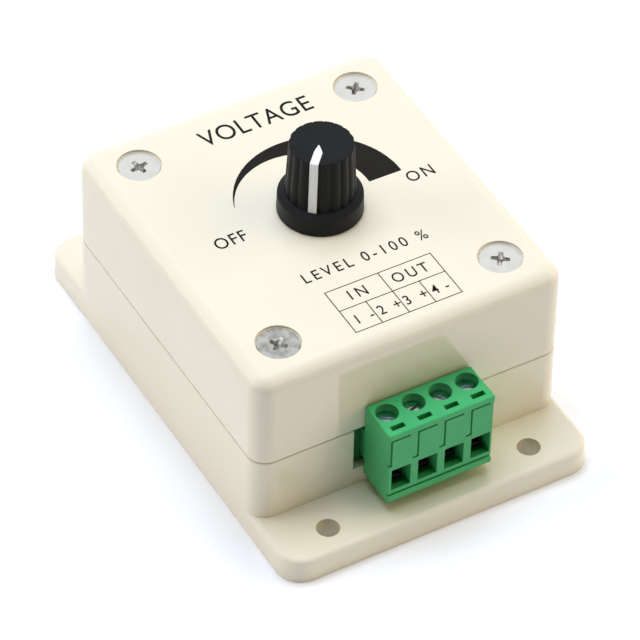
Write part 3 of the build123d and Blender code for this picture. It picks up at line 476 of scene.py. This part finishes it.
def screw_mesh(name, place, turn):
    """Screw with the top of its head at its origin, and the recess in its second material, which paints
    shade and glints into it.
    """
    bm = bmesh.new()
    levels = [ring(bm, radius, height, SCREW_SIDES) for radius, height in SCREW_OUTLINE]
    for upper, lower in zip(levels, levels[1:]):
        skin(bm, upper, lower)
    bm.faces.new(levels[-1])
    outside = len(bm.faces)
    recess = [cross(bm, *level) for level in RECESS_OUTLINE]
    tip = bm.verts.new((0, 0, RECESS_TIP))
    for upper, lower in zip(recess, recess[1:]):
        skin(bm, upper, lower)
    for corner, following in around(recess[-1]):
        bm.faces.new((corner, following, tip))
    for face in list(bm.faces)[outside:]:
        face.material_index = 1
    edges = [bm.edges.get(pair) for loop in (levels[0], recess[0]) for pair in around(loop)]
    bmesh.ops.triangle_fill(bm, use_beauty=True, use_dissolve=False, edges=edges, normal=(0, 0, 1))
    thread(bm, crest=1.62, root=1.20, pitch=1.30, top=-3.2, turns=16, sides=32)
    mesh = new_mesh(name, bm)
    set_screw(mesh, place, turn)
    return mesh


screw_x, screw_y, screw_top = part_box("cover_screws")[1]
screw_x -= CAD_HEAD_MM * MM
screw_y -= CAD_HEAD_MM * MM
# Name, place, turn in degrees and material; the near left one has a darker zinc, a painted dark reflection
SCREWS = [
    ("cover_screw_1", (-screw_x, -screw_y, screw_top), 40, zinc_painted_dark_reflection),
    ("cover_screw_2", (screw_x, -screw_y, screw_top), 53, zinc_steel),
    ("cover_screw_3", (screw_x, screw_y, screw_top), 50, zinc_steel),
    ("cover_screw_4", (-screw_x, screw_y, screw_top), 11, zinc_steel),
]
for name, place, turn, surface in SCREWS:
    screw = piece(name, screw_mesh(name, place, turn), [surface, recess_painted_shade_glints], "enclosure")
    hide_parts("cover_screws")


# Clamp screws: domed heads with a slot right across, and shanks with a ridge for each turn of thread

CLAMP_SIDES = 48
DOME_ROWS = 8
DOME_HEIGHT = 0.3
CLAMP_HEAD_RADIUS, CLAMP_HEAD_HEIGHT = 1.75, 1.5
CLAMP_CREST, CLAMP_ROOT, CLAMP_PITCH, CLAMP_RIDGES = 1.1, 0.9, 0.45, 10
SLOT_LENGTH, SLOT_WIDTH, SLOT_DEPTH = 3 * CLAMP_HEAD_RADIUS, 0.6, 0.8
# Turn of each pole's screw in degrees
CLAMP_TURNS = (-35, 20, -60, -15)


def slotted(mesh, length, width, depth):
    """The mesh with a slot cut across its head, to a depth below its origin."""
    bm = bmesh.new()
    bmesh.ops.create_cube(bm, size=1, matrix=Matrix.Diagonal((length, width, 2 * depth, 1)))
    tool = bpy.data.objects.new("slot_tool", new_mesh("slot_tool", bm))
    head = bpy.data.objects.new("slot_head", mesh)
    for obj in (tool, head):
        bpy.context.scene.collection.objects.link(obj)
    cut = head.modifiers.new("slot", "BOOLEAN")
    cut.object = tool
    cut.operation = "DIFFERENCE"
    cut.solver = "EXACT"
    result = bpy.data.meshes.new_from_object(head.evaluated_get(bpy.context.evaluated_depsgraph_get()))
    for obj in (tool, head):
        bpy.data.objects.remove(obj)
    return result


def clamp_mesh(name, turn):
    """Screw with the rim of its dome at its origin, set on the top of its CAD node."""
    dome = []
    for n in range(1, DOME_ROWS + 1):
        share = n / DOME_ROWS
        dome.append((CLAMP_HEAD_RADIUS * share, DOME_HEIGHT * (1 - share ** 2)))
    shank = []
    for n in range(CLAMP_RIDGES):
        shank.append((CLAMP_ROOT, -CLAMP_HEAD_HEIGHT - CLAMP_PITCH * n))
        shank.append((CLAMP_CREST, -CLAMP_HEAD_HEIGHT - CLAMP_PITCH * (n + 0.5)))
    outline = [*dome, (CLAMP_HEAD_RADIUS, -CLAMP_HEAD_HEIGHT), *shank]
    bm = bmesh.new()
    levels = [ring(bm, radius, height, CLAMP_SIDES) for radius, height in outline]
    for upper, lower in zip(levels, levels[1:]):
        skin(bm, upper, lower)
    bm.faces.new(levels[0])
    bm.faces.new(levels[-1])
    mesh = slotted(new_mesh(name, bm), SLOT_LENGTH, SLOT_WIDTH, SLOT_DEPTH)
    mesh.name = name
    low, high = (Vector(corner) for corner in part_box(name))
    set_screw(mesh, ((low.x + high.x) / 2, (low.y + high.y) / 2, high.z), turn)
    return mesh


for pole, turn in zip(POLES, CLAMP_TURNS):
    node = f"clamp_screw_{pole}"
    screw = piece(f"slotted_{node}", clamp_mesh(node, turn), [clamp_steel], node)
    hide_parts(node)


# Camera, fitted to the photograph: angles in degrees, lengths in metres, focal length in pixels

CAMERA_AZIMUTH, CAMERA_ELEVATION, CAMERA_ROLL = 30.663, 44.492, 1.569
CAMERA_TARGET = Vector((0, 0, 0.012))
CAMERA_DISTANCE, CAMERA_RIGHT, CAMERA_DOWN = 0.74526, 0.00079, 0.001314
FOCAL_PIXELS, PHOTO_PIXELS = 4433.448, 640
SENSOR_MM = 36


def photo_camera():
    """Camera at the photograph's angle, rolled and shifted a little as its frame is."""
    azimuth, elevation, roll = map(math.radians, (CAMERA_AZIMUTH, CAMERA_ELEVATION, CAMERA_ROLL))
    flat = math.cos(elevation)
    back = Vector((-math.sin(azimuth) * flat, -math.cos(azimuth) * flat, math.sin(elevation)))
    level = Vector((math.cos(azimuth), -math.sin(azimuth), 0))
    upright = back.cross(level)
    right = math.cos(roll) * level + math.sin(roll) * upright
    up = math.cos(roll) * upright - math.sin(roll) * level
    place = CAMERA_TARGET + CAMERA_DISTANCE * back + CAMERA_RIGHT * right - CAMERA_DOWN * up
    lens = bpy.data.cameras.new("camera")
    lens.sensor_width = SENSOR_MM
    lens.lens = SENSOR_MM * FOCAL_PIXELS / PHOTO_PIXELS
    camera = bpy.data.objects.new("camera", lens)
    camera.matrix_world = Matrix((
        (right.x, up.x, back.x, place.x),
        (right.y, up.y, back.y, place.y),
        (right.z, up.z, back.z, place.z),
        (0, 0, 0, 1),
    ))
    bpy.context.scene.collection.objects.link(camera)
    bpy.context.scene.camera = camera


photo_camera()


# Stage: white floor that keeps the shadow, even sky, soft lamps

SKY_TINT = (1, 0.985, 0.94, 1)
WHITE = (1, 1, 1, 1)
FLOOR_REACH = 3.0
FLOOR_CELLS = 8
# The floor lies a hair below the part, so that the two don't share a plane
FLOOR_DROP = 0.00005
FLOOR_COLOUR = (0.92, 0.92, 0.92, 1)
FLOOR_ROUGH = 0.9
LAMP_AIM = Vector((0, 0, 0.02))


def seen_directly(tree):
    """One for rays from the camera, a reflection or glass, nought for light on a surface."""
    path = tree.nodes.new("ShaderNodeLightPath")
    first = tree.nodes.new("ShaderNodeMath")
    second = tree.nodes.new("ShaderNodeMath")
    first.operation = second.operation = "MAXIMUM"
    tree.links.new(path.outputs["Is Camera Ray"], first.inputs[0])
    tree.links.new(path.outputs["Is Glossy Ray"], first.inputs[1])
    tree.links.new(first.outputs[0], second.inputs[0])
    tree.links.new(path.outputs["Is Transmission Ray"], second.inputs[1])
    return second.outputs[0]


def make_world(ambient):
    """Faint sky that lights the part, and shows white where it is seen."""
    world = bpy.data.worlds.new("studio")
    world.use_nodes = True
    tree = world.node_tree
    sky = tree.nodes["Background"]
    sky.inputs["Color"].default_value = SKY_TINT
    sky.inputs["Strength"].default_value = ambient
    white = tree.nodes.new("ShaderNodeBackground")
    white.inputs["Color"].default_value = WHITE
    white.inputs["Strength"].default_value = 1.0
    mix = tree.nodes.new("ShaderNodeMixShader")
    tree.links.new(seen_directly(tree), mix.inputs["Fac"])
    tree.links.new(sky.outputs[0], mix.inputs[1])
    tree.links.new(white.outputs[0], mix.inputs[2])
    tree.links.new(mix.outputs[0], tree.nodes["World Output"].inputs["Surface"])
    bpy.context.scene.world = world


def make_floor(lift):
    """Pale floor, lifted towards white by a glow where it is seen."""
    bm = bmesh.new()
    bmesh.ops.create_grid(bm, x_segments=FLOOR_CELLS, y_segments=FLOOR_CELLS, size=FLOOR_REACH)
    floor = bpy.data.objects.new("floor", new_mesh("floor", bm))
    floor.location.z = -FLOOR_DROP
    bpy.context.scene.collection.objects.link(floor)
    made, tree, shader = material("floor_paper")
    shader.inputs["Base Color"].default_value = FLOOR_COLOUR
    shader.inputs["Roughness"].default_value = FLOOR_ROUGH
    glow = tree.nodes.new("ShaderNodeEmission")
    scale = tree.nodes.new("ShaderNodeMath")
    scale.operation = "MULTIPLY"
    scale.inputs[1].default_value = lift
    total = tree.nodes.new("ShaderNodeAddShader")
    tree.links.new(seen_directly(tree), scale.inputs[0])
    tree.links.new(scale.outputs[0], glow.inputs["Strength"])
    tree.links.new(shader.outputs[0], total.inputs[0])
    tree.links.new(glow.outputs[0], total.inputs[1])
    tree.links.new(total.outputs[0], tree.nodes["Material Output"].inputs["Surface"])
    dress(floor, made)


def lamp(name, place, size, power, tint):
    """Round soft lamp that faces the object and shows in no reflection."""
    light = bpy.data.lights.new(name, "AREA")
    light.shape = "DISK"
    light.size = size
    light.energy = power
    light.color = tint
    obj = bpy.data.objects.new(name, light)
    obj.visible_glossy = False
    obj.location = place
    obj.rotation_euler = (LAMP_AIM - Vector(place)).to_track_quat("-Z", "Y").to_euler()
    bpy.context.scene.collection.objects.link(obj)


make_world(ambient=0.03)
make_floor(lift=0.06)
lamp("overhead", place=(0, 0.2, 1.0), size=0.8, power=12.0, tint=(0.75, 0.84, 1.0))
lamp("left", place=(-0.9, 0.5, 0.4), size=0.8, power=4.9, tint=(1.0, 0.90, 0.79))
lamp("right", place=(0.94, -0.4, 0.42), size=1.4, power=9.6, tint=(1.0, 0.825, 0.57))

bpy.context.scene.view_settings.view_transform = "Standard"
